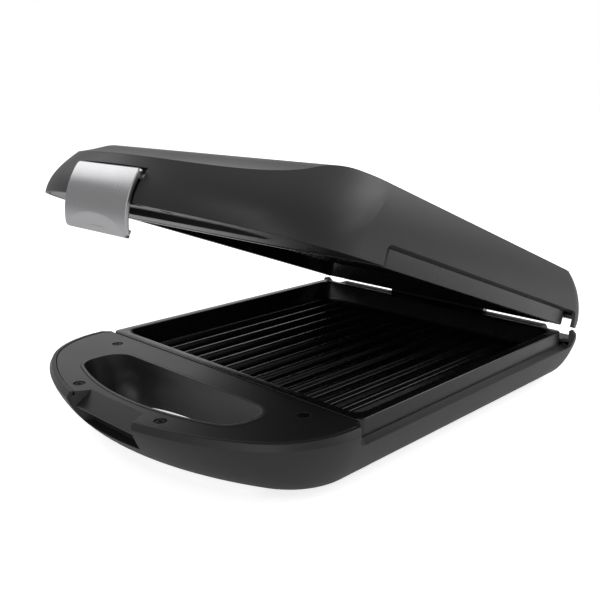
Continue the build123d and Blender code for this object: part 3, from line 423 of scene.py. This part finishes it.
# ---- grill plates ----------------------------------------------------------------------------------
@dataclass(frozen=True)
class GrillPlate:
    """A cast grill plate: underside tray, skirt, rim, sloping walls and a row of ribs."""

    node: str
    body: Body
    faces_down: bool = False
    width: float = 250.0
    length: float = 245.0
    corner: float = 5.0
    skirt: float = 11.0
    rim: float = 7.0
    valley: float = 15.0
    metal: float = 3.2
    draft: float = math.radians(26)
    tray_inset: float = 10.2
    tray_corner: float = 1.0
    rim_corner: float = 8.0                     # inside the rim
    rim_edge: float = 0.9
    wall_foot: float = 3.2
    wall_foot_steps: int = 4
    rib_count: int = 14
    rib_pitch: float = 15.72
    rib_half_length: float = 102.0
    rib_middle: float = 123.0
    rib_half_width: float = 3.2
    rib_top_half_width: float = 1.3
    rib_height: float = 3.8
    rib_round: float = 1.0
    rib_round_in: float = 0.6                   # the share of it inside the top's half width
    rib_round_steps: int = 6
    rib_foot: float = 1.15
    rib_foot_turn: float = 80.0                 # degrees that the flared foot turns through
    rib_foot_steps: int = 4
    rib_foot_lift: float = 0.02
    rib_sunk: float = 0.4                       # how far a rib reaches into the valley floor
    highlight_reach: float = 0.75                    # the share of the rounding that the painted highlight covers
    highlight_stop: float = 0.005                    # below a rib's flat top
    rib_merge: float = 0.002

    def build(self, place: Matrix) -> None:
        """Cast the plate and its ribs.

        Args:
            place: Drawing millimetres to the row's metres.
        """
        mesh = bmesh.new()
        self.cast(mesh)
        for number in range(self.rib_count):
            self.add_rib(mesh, (number - (self.rib_count - 1) / 2) * self.rib_pitch)
        bmesh.ops.translate(mesh, vec=(0.0, 0.0, -PLATE_GAP_MM), verts=mesh.verts)
        if self.faces_down:
            bmesh.ops.scale(mesh, vec=(1.0, 1.0, -1.0), verts=mesh.verts)
        # The second finish is the painted highlight on the ribs' crests.
        install(mesh, self.node + "_cast", place, self.body, [NON_STICK, CREST_PAINTED_HIGHLIGHT], self.node)

    def loop(self, mesh: bmesh.types.BMesh, inset: float, z: float,
             radius: float) -> list[bmesh.types.BMEdge]:
        """One level of the casting.

        Args:
            mesh: The mesh that takes it.
            inset: How far it lies inside the plate's edge.
            z: Its height.
            radius: Its corner radius.

        Returns:
            The loop's edges.
        """
        return closed_loop(mesh, self.width / 2 - inset, self.length / 2 - inset, radius, z)

    def cast(self, mesh: bmesh.types.BMesh) -> None:
        """The casting from its tray, round the skirt and the rim, down to the valley floor.

        Args:
            mesh: The mesh that takes it.
        """
        slope = self.valley * math.tan(self.draft)
        loops = [self.loop(mesh, self.tray_inset, -self.valley - self.metal, self.tray_corner),
                 self.loop(mesh, self.tray_inset, -self.skirt, self.tray_corner),
                 self.loop(mesh, 0.0, -self.skirt, self.corner),
                 self.loop(mesh, 0.0, 0.0, self.corner),
                 self.loop(mesh, self.rim, 0.0, self.rim_corner),
                 self.loop(mesh, self.rim + slope, -self.valley, self.corner)]
        skin(mesh, loops)
        soften(mesh, loops[3] + loops[4], self.rim_edge)
        soften(mesh, loops[5], self.wall_foot, self.wall_foot_steps)
        bmesh.ops.translate(mesh, vec=(0.0, self.length / 2, 0.0), verts=mesh.verts)

    def add_rib(self, mesh: bmesh.types.BMesh, x: float) -> None:
        """One rib with a flared foot, drafted sides, a rounded top and round ends.

        Args:
            mesh: The mesh that takes it.
            x: Where it stands across the plate.
        """
        known = set(mesh.verts)
        levels = [(self.rib_half_width, -self.rib_sunk), (self.rib_half_width, self.rib_foot_lift)]
        for step in range(1, self.rib_foot_steps + 1):
            angle = math.radians(self.rib_foot_turn / self.rib_foot_steps * step)
            levels.append((self.rib_half_width - self.rib_foot * math.sin(angle),
                           self.rib_foot * (1 - math.cos(angle))))
        for step in range(1, self.rib_round_steps + 1):
            angle = math.radians(90 / self.rib_round_steps * step)
            levels.append((self.rib_top_half_width + self.rib_round * (math.cos(angle) - self.rib_round_in),
                           self.rib_height - self.rib_round * (1 - math.sin(angle))))
        loops = [closed_loop(mesh, half, self.rib_half_length - self.rib_half_width + half, half * NEARLY,
                             z - self.valley) for half, z in levels]
        skin(mesh, loops)
        made = [vert for vert in mesh.verts if vert not in known]
        top = self.rib_height - self.valley
        # Faces on the crests' rounding take the painted highlight as material number one.
        for face in {face for vert in made for face in vert.link_faces}:
            height = face.calc_center_median().z
            thin = top - self.rib_round * self.highlight_reach < height < top - self.highlight_stop
            face.material_index = int(thin)
        bmesh.ops.translate(mesh, vec=(x, self.rib_middle, 0.0), verts=made)
        bmesh.ops.remove_doubles(mesh, verts=made, dist=self.rib_merge)


# ---- latch -----------------------------------------------------------------------------------------
@dataclass(frozen=True)
class Latch:
    """The silver flap on the lid's front: a bowed shell with a thumb scoop, lugs and a hook behind."""

    half_width: float = 31.0
    top: float = 20.2
    bottom: float = -18.4
    thickness: float = 2.8
    face_y: float = -107.6
    bow: float = 47.0
    bow_height: float = 3.0
    corner: float = 2.2
    edge: float = 0.55
    mesh_step: float = 0.75
    scoop_radius: float = 300.0
    scoop_depth: float = 1.3
    pin: tuple[float, float] = (-101.2, 16.0)      # y and z of the pivot
    pin_bore: float = 1.55
    lug_x: float = 19.0
    lug_width: float = 5.0
    lug_reach: float = 3.0
    hook_half_width: float = 15.0
    hook_tip: float = -88.9
    hook_levels: tuple[float, float, float] = (-8.0, -15.5, -13.2)   # root, underside and top
    hook_nose: tuple[float, float] = (3.2, 0.6)
    hook_set: float = 1.0                       # behind the flap's flat back
    lug_drop: float = 6.0
    block_edge: float = 0.25
    edge_angle: float = 60.0                    # degrees; the flat plate's sharper edges are rounded

    def build(self, place: Matrix) -> None:
        """Shape the flap, its lugs and its hook.

        Args:
            place: Drawing millimetres to the row's metres.
        """
        mesh = bmesh.new()
        self.add_flap(mesh)
        for side in (-1, 1):
            self.add_lug(mesh, side * self.lug_x)
        self.add_hook(mesh)
        install(mesh, "latch_flap", place, Body.LATCH, [SILVER_LACQUER], "latch")

    def add_flap(self, mesh: bmesh.types.BMesh) -> None:
        """The flap, cut as a flat plate with rounded corners and edges, then bowed and scooped.

        Args:
            mesh: The mesh that takes it.
        """
        middle = (self.top + self.bottom) / 2
        half_height = (self.top - self.bottom) / 2
        outline = closed_loop(mesh, self.half_width, half_height, self.corner, 0.0)
        front = bmesh.ops.contextual_create(mesh, geom=outline)["faces"]
        back = bmesh.ops.extrude_face_region(mesh, geom=front)["geom"]
        bmesh.ops.translate(mesh, vec=(0.0, 0.0, -self.thickness),
                            verts=[item for item in back if isinstance(item, bmesh.types.BMVert)])
        bmesh.ops.recalc_face_normals(mesh, faces=mesh.faces)
        soften(mesh, sharp_edges(mesh, self.edge_angle), self.edge)
        for axis, half in ((0, self.half_width), (1, half_height)):
            across = Vector((1, 0, 0)) if axis == 0 else Vector((0, 1, 0))
            steps = round(2 * half / self.mesh_step)
            for number in range(1, steps):
                bmesh.ops.bisect_plane(mesh, geom=mesh.verts[:] + mesh.edges[:] + mesh.faces[:], dist=CUT_MM,
                                       plane_co=across * half * (2 * number / steps - 1), plane_no=across)
        for vert in mesh.verts:
            vert.co = self.bowed(vert.co.x, vert.co.y + middle, -vert.co.z)

    def bowed(self, x: float, z: float, depth: float) -> Vector:
        """Bend a point of the flat plate round the bow and push it back where the thumb scoop is.

        Args:
            x: Its place across the flap.
            z: Its height.
            depth: How far behind the outer face it lies.

        Returns:
            The point on the bowed flap.
        """
        centre_y = self.face_y + self.bow
        y = centre_y - math.sqrt((self.bow - depth) ** 2 - (z - self.bow_height) ** 2)
        tilt = math.asin((self.bow_height - self.bottom) / self.bow)
        reach = self.bow + self.scoop_radius - self.scoop_depth
        ball = Vector((0.0, centre_y - reach * math.cos(tilt), self.bow_height - reach * math.sin(tilt)))
        room = self.scoop_radius ** 2 - x ** 2 - (z - ball.z) ** 2
        if depth < self.thickness / 2 and room > 0:
            y = max(y, ball.y + math.sqrt(room))
        return Vector((x, y, z))

    def prism(self, mesh: bmesh.types.BMesh, corners: list[tuple[float, float]], x: float,
              half_width: float) -> None:
        """A block drawn by its corners in the YZ plane, with its edges eased.

        Args:
            mesh: The mesh that takes it.
            corners: Its corners as y and z.
            x: The middle of its width.
            half_width: Half its width.
        """
        known = set(mesh.edges)
        verts = [mesh.verts.new((x - half_width, y, z)) for y, z in corners]
        face = mesh.faces.new(verts)
        pulled = bmesh.ops.extrude_face_region(mesh, geom=[face])["geom"]
        bmesh.ops.translate(mesh, vec=(2 * half_width, 0.0, 0.0),
                            verts=[item for item in pulled if isinstance(item, bmesh.types.BMVert)])
        soften(mesh, [edge for edge in mesh.edges if edge not in known], self.block_edge, steps=2)

    def add_lug(self, mesh: bmesh.types.BMesh, x: float) -> None:
        """One lug behind the flap's top: a web and the eye round the pivot pin.

        Args:
            mesh: The mesh that takes it.
            x: Where it stands across the flap.
        """
        y, z = self.pin
        root = self.face_y + self.thickness
        self.prism(mesh, [(root, z - self.lug_drop), (y - self.pin_bore, z - self.lug_reach),
                          (y - self.pin_bore, z + self.lug_reach), (root, z + self.lug_reach)], x,
                   self.lug_width / 2)
        half = self.lug_width / 2
        loops = [round_loop(mesh, radius, level) for radius, level in (
            (self.pin_bore, -half), (self.lug_reach, -half), (self.lug_reach, half), (self.pin_bore, half))]
        for near, far in zip(loops, loops[1:] + loops[:1]):
            bmesh.ops.bridge_loops(mesh, edges=near + far)
        verts = list({vert for loop in loops for edge in loop for vert in edge.verts})
        bmesh.ops.transform(mesh, matrix=Matrix.Translation((x, y, z)) @ Matrix.Rotation(math.pi / 2, 4, "Y"),
                            verts=verts)

    def add_hook(self, mesh: bmesh.types.BMesh) -> None:
        """The hook that reaches back from the flap's foot to the catch.

        Args:
            mesh: The mesh that takes it.
        """
        root, under, top = self.hook_levels
        run, rise = self.hook_nose
        start = self.face_y + self.thickness + self.hook_set
        tip = self.hook_tip
        self.prism(mesh, [(start, root), (start + self.hook_set, under), (tip, under), (tip, top),
                          (tip - run, top), (tip - 2 * run, top + rise)], 0.0, self.hook_half_width)


# ---- finger well -----------------------------------------------------------------------------------
@dataclass(frozen=True)
class FingerWell:
    """The base's finger well: the liner, whose back and end walls curl inwards at their foot."""

    node: str = "base_well_liner"
    half_width: float = 78.0                    # at the rim
    back: float = -24.5
    front: float = -73.0
    flare: tuple[float, float, float] = (0.28, 0.61, 0.22)   # growth with depth of those three
    corner: float = 15.0
    nose: float = 187.0
    margin: float = 1.0                         # inner face to the surface that those sizes give
    cut: float = 1e-4                           # a cut this near a vertex goes through it
    ring_step: float = 1.5
    cuts: int = 20                              # upright cuts on each side of the middle
    foot_depth: float = 37.5
    below_foot: float = 2.0
    curl_start: float = 12.0
    curl: float = 6.5                           # how far the back wall comes forward at its foot
    bowl: float = 15.0                          # how much more it does at its ends
    end_curl: float = 10.0                      # and the end walls inwards
    end_start: float = 30.0

    def build(self, place: Matrix) -> None:
        """Cut the liner into rings and curl its inner walls.

        Args:
            place: Drawing millimetres to the row's metres.
        """
        mesh = bmesh.new()
        mesh.from_mesh(bpy.data.objects[self.node].data)
        bmesh.ops.transform(mesh, matrix=place.inverted(), verts=mesh.verts)
        bmesh.ops.remove_doubles(mesh, verts=mesh.verts, dist=MERGE_MM)
        depth = self.curl_start
        while depth < self.foot_depth + self.below_foot:
            bmesh.ops.bisect_plane(mesh, geom=mesh.verts[:] + mesh.edges[:] + mesh.faces[:], dist=self.cut,
                                   plane_co=(0, 0, -depth), plane_no=(0, 0, 1))
            depth += self.ring_step
        for number in range(-self.cuts, self.cuts + 1):
            bmesh.ops.bisect_plane(mesh, geom=mesh.verts[:] + mesh.edges[:] + mesh.faces[:], dist=self.cut,
                                   plane_co=(self.half_width * number / self.cuts, 0, 0), plane_no=(1, 0, 0))
        for vert in mesh.verts:
            vert.co += self.curled(vert.co)
        # The bowl takes the charcoal painted lighter, as painted light.
        install(mesh, "base_well_bowl", place, Body.BASE, [WELL_PAINTED_LIGHT], self.node)

    def curled(self, point: Vector) -> Vector:
        """How far a point of the liner moves as the walls curl in.

        Args:
            point: The point on the straight-walled liner.

        Returns:
            The move, which is zero on the outer face and above the curl.
        """
        depth = -point.z
        if depth <= self.curl_start or not self.is_inner(point, depth):
            return Vector((0.0, 0.0, 0.0))
        half = self.half_width + self.flare[0] * depth
        back, front = self.back + self.flare[1] * depth, self.front + self.flare[2] * depth
        along = min(max((point.y - front) / (back - front), 0.0), 1.0)
        aside = min(max((abs(point.x) - self.end_start) / (half - self.end_start), 0.0), 1.0)
        reached = ((depth - self.curl_start) / (self.foot_depth - self.curl_start)) ** 2
        inwards = -math.copysign(self.end_curl * aside ** 2 * (3 - 2 * aside), point.x)
        forwards = -(self.curl + self.bowl * min(point.x / half, 1.0) ** 2) * along ** 2 * (3 - 2 * along)
        return Vector((inwards, forwards, 0.0)) * reached

    def is_inner(self, point: Vector, depth: float) -> bool:
        """Tell the liner's inner face from its outer one.

        Args:
            point: A point on either face.
            depth: Its depth below the parting plane.

        Returns:
            True in the opening or within the margin of it.
        """
        half = self.half_width + self.flare[0] * depth
        back = self.back + self.flare[1] * depth
        nose_y = self.front + self.flare[2] * depth + self.nose
        x, y = abs(point.x), point.y
        if (x > half + self.margin or y > back + self.margin
                or math.hypot(x, y - nose_y) > self.nose + self.margin):
            return False
        past_x, past_y = x - (half - self.corner), y - (back - self.corner)
        return past_x < 0 or past_y < 0 or math.hypot(past_x, past_y) < self.corner + self.margin


# ---- screws and feet -------------------------------------------------------------------------------
@dataclass(frozen=True)
class CoverScrews:
    """Four cross-recessed screws in a handle cover."""

    node: str
    body: Body
    places: tuple[tuple[float, float], ...]
    faces_down: bool = False
    head: float = 3.7
    flat: float = 2.2
    seat: float = -2.0
    rim: float = 0.7
    top: float = -0.8
    shank: float = 1.75
    length: float = 12.0
    slot_half_width: float = 0.42
    slot_reach: float = 1.8
    slot_depth: float = 0.9
    slot_taper: float = 0.7
    tip: float = 1.5                            # the pointed end's length
    tip_share: float = 0.5                      # and its width as a share of the shank's
    ease: tuple[float, float] = (0.35, 0.25)    # the head's eased edge, in and up
    dome: tuple[float, float] = (0.4, 0.08)     # its dome's last step, in and up
    turned: tuple[float, float] = (20.0, 37.0)  # degrees: the first cross, and each next one's further turn

    def build(self, place: Matrix) -> None:
        """Turn the four screws.

        Args:
            place: Drawing millimetres to the row's metres.
        """
        mesh = bmesh.new()
        for number, (x, y) in enumerate(self.places):
            self.add_screw(mesh, x, y, math.radians(self.turned[0] + self.turned[1] * number))
        if self.faces_down:
            bmesh.ops.scale(mesh, vec=(1.0, 1.0, -1.0), verts=mesh.verts)
        install(mesh, self.node + "_turned", place, self.body, [BLACK_SCREW], self.node)

    def add_screw(self, mesh: bmesh.types.BMesh, x: float, y: float, turned: float) -> None:
        """One screw: shank, domed head and a cross recess.

        Args:
            mesh: The mesh that takes it.
            x: Its place across the press.
            y: Its place along the press.
            turned: How far the cross is turned.
        """
        known = set(mesh.verts)
        end = self.top - self.length
        edge = self.seat + self.rim
        levels = [(self.shank * self.tip_share, end), (self.shank, end + self.tip), (self.shank, self.seat),
                  (self.head, self.seat), (self.head, edge), (self.head - self.ease[0], edge + self.ease[1]),
                  (self.flat + self.dome[0], self.top - self.dome[1]), (self.flat, self.top)]
        skin(mesh, [round_loop(mesh, radius, z) for radius, z in levels])
        made = [vert for vert in mesh.verts if vert not in known]
        flat = next(face for face in mesh.faces if len(face.verts) > 4 and face.verts[0] in made
                    and abs(face.calc_center_median().z - self.top) < MERGE_MM)
        self.cut_cross(mesh, flat)
        made = [vert for vert in mesh.verts if vert not in known]
        bmesh.ops.transform(mesh, matrix=Matrix.Translation((x, y, 0)) @ Matrix.Rotation(turned, 4, "Z"),
                            verts=made)

    def cut_cross(self, mesh: bmesh.types.BMesh, flat: bmesh.types.BMFace) -> None:
        """Sink a tapered cross into the head's flat top.

        Args:
            mesh: The mesh that holds the screw.
            flat: The face on top of the head.
        """
        region = [flat]
        for across in (Vector((1, 0, 0)), Vector((0, 1, 0))):
            for offset in (-self.slot_reach, -self.slot_half_width, self.slot_half_width, self.slot_reach):
                geometry = list({item for face in region for item in (face, *face.edges, *face.verts)})
                cut = bmesh.ops.bisect_plane(mesh, geom=geometry, dist=CUT_MM, plane_co=across * offset,
                                             plane_no=across)["geom"]
                region = [item for item in cut if isinstance(item, bmesh.types.BMFace)]
        inside = []
        for face in region:
            middle = face.calc_center_median()
            near, far = sorted((abs(middle.x), abs(middle.y)))
            if near < self.slot_half_width and far < self.slot_reach:
                inside.append(face)
        sunk = bmesh.ops.extrude_face_region(mesh, geom=inside)["geom"]
        bmesh.ops.delete(mesh, geom=[face for face in inside if face.is_valid], context="FACES_ONLY")
        verts = [item for item in sunk if isinstance(item, bmesh.types.BMVert)]
        bmesh.ops.scale(mesh, vec=(self.slot_taper, self.slot_taper, 1.0), verts=verts)
        bmesh.ops.translate(mesh, vec=(0.0, 0.0, -self.slot_depth), verts=verts)


@dataclass(frozen=True)
class RubberFeet:
    """Four moulded feet with a shallow dish underneath."""

    places: tuple[tuple[float, float], ...] = ((78.0, 24.0), (-78.0, 24.0), (78.0, 230.0), (-78.0, 230.0))
    radius: float = 9.0
    top: float = -39.5
    bottom: float = -44.5
    edge: float = 1.2
    edge_bulge: float = 0.3                     # the share of the edge at its rounding's middle
    dish: tuple[float, float, float] = (3.0, 4.0, 0.8)   # edge to its rim and to its floor, and its depth

    def build(self, place: Matrix) -> None:
        """Mould the feet.

        Args:
            place: Drawing millimetres to the row's metres.
        """
        mesh = bmesh.new()
        for x, y in self.places:
            known = set(mesh.verts)
            levels = [(self.radius, self.top), (self.radius, self.bottom + self.edge),
                      (self.radius - self.edge * self.edge_bulge, self.bottom + self.edge * self.edge_bulge),
                      (self.radius - self.edge, self.bottom), (self.radius - self.dish[0], self.bottom),
                      (self.radius - self.dish[1], self.bottom + self.dish[2])]
            skin(mesh, [round_loop(mesh, radius, z) for radius, z in levels])
            bmesh.ops.translate(mesh, vec=(x, y, 0.0), verts=[v for v in mesh.verts if v not in known])
        install(mesh, "rubber_feet_moulded", place, Body.BASE, [FOOT_RUBBER], "rubber_feet")


# ---- studio ---------------------------------------------------------------------------------------
@dataclass
class Studio:
    """The pale floor, the soft lights round the press and the camera."""

    drawing: Drawing
    eye_mm: tuple[float, float, float] = (397.8, -331.5, 184.3)
    azimuth: float = math.radians(44.04)      # the view turns this far to the left of +Y
    dip: float = math.radians(14.84)          # and looks down this far
    roll: float = math.radians(0.145)
    lens_mm: float = 48.53
    sensor_mm: float = 36.0
    floor_half_width: float = 6.0
    floor_colour: str = "#f4f4f4"
    floor_gap: float = 0.0002                 # feet to floor, so that the faces don't coincide
    world_light: float = 0.39
    floor_glow: float = 0.76                  # added to the floor where the camera sees it
    mirrored_glow: float = 0.15               # and where the press mirrors it

    def build(self) -> None:
        """Make the floor, the world, the lights and the camera."""
        self.make_world()
        self.make_floor()
        self.make_lights()
        self.make_camera()
        bpy.context.scene.view_settings.view_transform = "Standard"
        LOG.info("studio ready")

    def make_world(self) -> None:
        """A white surround for the camera and for reflections, over a softer light."""
        world = bpy.data.worlds.new("pale_studio")
        world.use_nodes = True
        tree = world.node_tree
        tree.nodes.clear()
        rays = add_node(tree, "LightPath")
        strength = add_node(tree, "MapRange", Value=rays.outputs["Is Camera Ray"], To_Min=self.world_light,
                            To_Max=1.0)
        glow = add_node(tree, "Background", Color=(1, 1, 1, 1), Strength=strength.outputs["Result"])
        add_node(tree, "OutputWorld", Surface=glow.outputs["Background"])
        bpy.context.scene.world = world

    def make_floor(self) -> None:
        """A wide white floor that keeps a light shadow."""
        mesh = bmesh.new()
        bmesh.ops.create_grid(mesh, x_segments=1, y_segments=1, size=self.floor_half_width)
        bmesh.ops.translate(mesh, vec=(0.0, 0.0, -self.floor_gap), verts=mesh.verts)
        floor = piece_from(mesh, "studio_floor")
        material = bpy.data.materials.new("white_studio_floor")
        material.use_nodes = True
        tree = material.node_tree
        tree.nodes.clear()
        rays = add_node(tree, "LightPath")
        paper = add_node(tree, "BsdfDiffuse", Color=linear(self.floor_colour))
        seen = add_node(tree, "Math", {"operation": "MULTIPLY"}, in_0=rays.outputs["Is Camera Ray"],
                        in_1=self.floor_glow)
        seen = add_node(tree, "Math", {"operation": "MULTIPLY_ADD"}, in_0=rays.outputs["Is Glossy Ray"],
                        in_1=self.mirrored_glow, in_2=seen.outputs[0])
        glow = add_node(tree, "Emission", Color=(1, 1, 1, 1), Strength=seen.outputs[0])
        lifted = add_node(tree, "AddShader", in_0=paper.outputs[0], in_1=glow.outputs[0])
        add_node(tree, "OutputMaterial", Surface=lifted.outputs[0])
        floor.data.materials.append(material)

    def make_lights(self) -> None:
        """Soft lamps all round the press, and one that brightens the floor beside it."""
        self.lamp("top_softbox", place=(-0.15, 0.35, 1.5), size=(1.6, 1.6), watts=1.5)
        self.lamp("back_softbox", place=(-1.5, 1.6, 0.55), size=(2.4, 1.0), watts=3.9)
        self.lamp("left_softbox", place=(-1.35, -0.40, 0.98), size=(0.75, 0.6), watts=2.6)
        self.lamp("right_back_softbox", place=(0.6, 1.6, 1.25), size=(1.1, 0.8), watts=8.0)
        self.lamp("floor_wash", place=(1.0, 0.9, 0.55), size=(0.9, 0.9), watts=5.0,
                  target=(1.0, 0.9, 0.0))
        self.lamp("camera_fill", place=(1.0, -1.3, 0.55), size=(1.0, 0.7), watts=3.0)
        self.lamp("front_softbox", place=(0.4, -1.4, 1.4), size=(1.0, 0.7), watts=3.5)

    def lamp(self, name: str, place: tuple[float, float, float], size: tuple[float, float],
             watts: float, target: tuple[float, float, float] = (0.0, 0.0, 0.08)) -> None:
        """Add one area lamp.

        Args:
            name: The lamp's name.
            place: Where it stands, in metres.
            size: Its width and height, in metres.
            watts: Its power.
            target: The point that it faces, which is the press unless given.
        """
        light = bpy.data.lights.new(name, "AREA")
        light.shape = "RECTANGLE"
        light.size, light.size_y = size
        light.energy = watts
        lamp = bpy.data.objects.new(name, light)
        lamp.visible_camera = False
        bpy.context.scene.collection.objects.link(lamp)
        aim = Vector(target) - Vector(place)
        lamp.matrix_world = Matrix.Translation(place) @ aim.to_track_quat("-Z", "Y").to_matrix().to_4x4()

    def make_camera(self) -> None:
        """The camera, looking past the right front corner towards the back left one."""
        view = bpy.data.cameras.new("camera")
        view.lens = self.lens_mm
        view.sensor_width = self.sensor_mm
        camera = bpy.data.objects.new("camera", view)
        bpy.context.scene.collection.objects.link(camera)
        look = Vector((-math.sin(self.azimuth) * math.cos(self.dip),
                       math.cos(self.azimuth) * math.cos(self.dip), -math.sin(self.dip)))
        turn = look.to_track_quat("-Z", "Y").to_matrix().to_4x4() @ Matrix.Rotation(self.roll, 4, "Z")
        camera.matrix_world = Matrix.Translation(self.drawing.base() @ Vector(self.eye_mm)) @ turn
        bpy.context.scene.camera = camera


def piece_from(mesh: bmesh.types.BMesh, name: str) -> bpy.types.Object:
    """Turn a finished bmesh into an object at the origin.

    Args:
        mesh: The bmesh, which is freed.
        name: The object's name.

    Returns:
        The new object.
    """
    data = bpy.data.meshes.new(name)
    mesh.to_mesh(data)
    mesh.free()
    piece = bpy.data.objects.new(name, data)
    bpy.context.scene.collection.objects.link(piece)
    return piece


def main() -> None:
    """Load the frame, dress every sub-assembly and set up the studio."""
    logging.basicConfig(level=logging.INFO, format="%(message)s")
    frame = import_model()
    for entry in frame["record"]["subparts"]:
        node = entry["node"]
        dress(frame["nodes"][node], NODE_FINISHES.get(node, SLOT_FINISHES[entry["material_slot"]]))
    drawing = Drawing.of_frame(frame)
    base, lid = drawing.base(), drawing.lid()
    GrillPlate("lower_grill_plate", Body.BASE).build(base)
    GrillPlate("upper_grill_plate", Body.LID, faces_down=True).build(lid)
    Latch().build(lid)
    FingerWell().build(base)
    CoverScrews("base_cover_screws", Body.BASE, SCREW_PLACES).build(base)
    CoverScrews("lid_cover_screws", Body.LID, tuple((x, y + LID_SCREW_SHIFT) for x, y in SCREW_PLACES),
                faces_down=True).build(lid)
    RubberFeet().build(base)
    Studio(drawing).build()


if __name__ == "__main__":
    main()
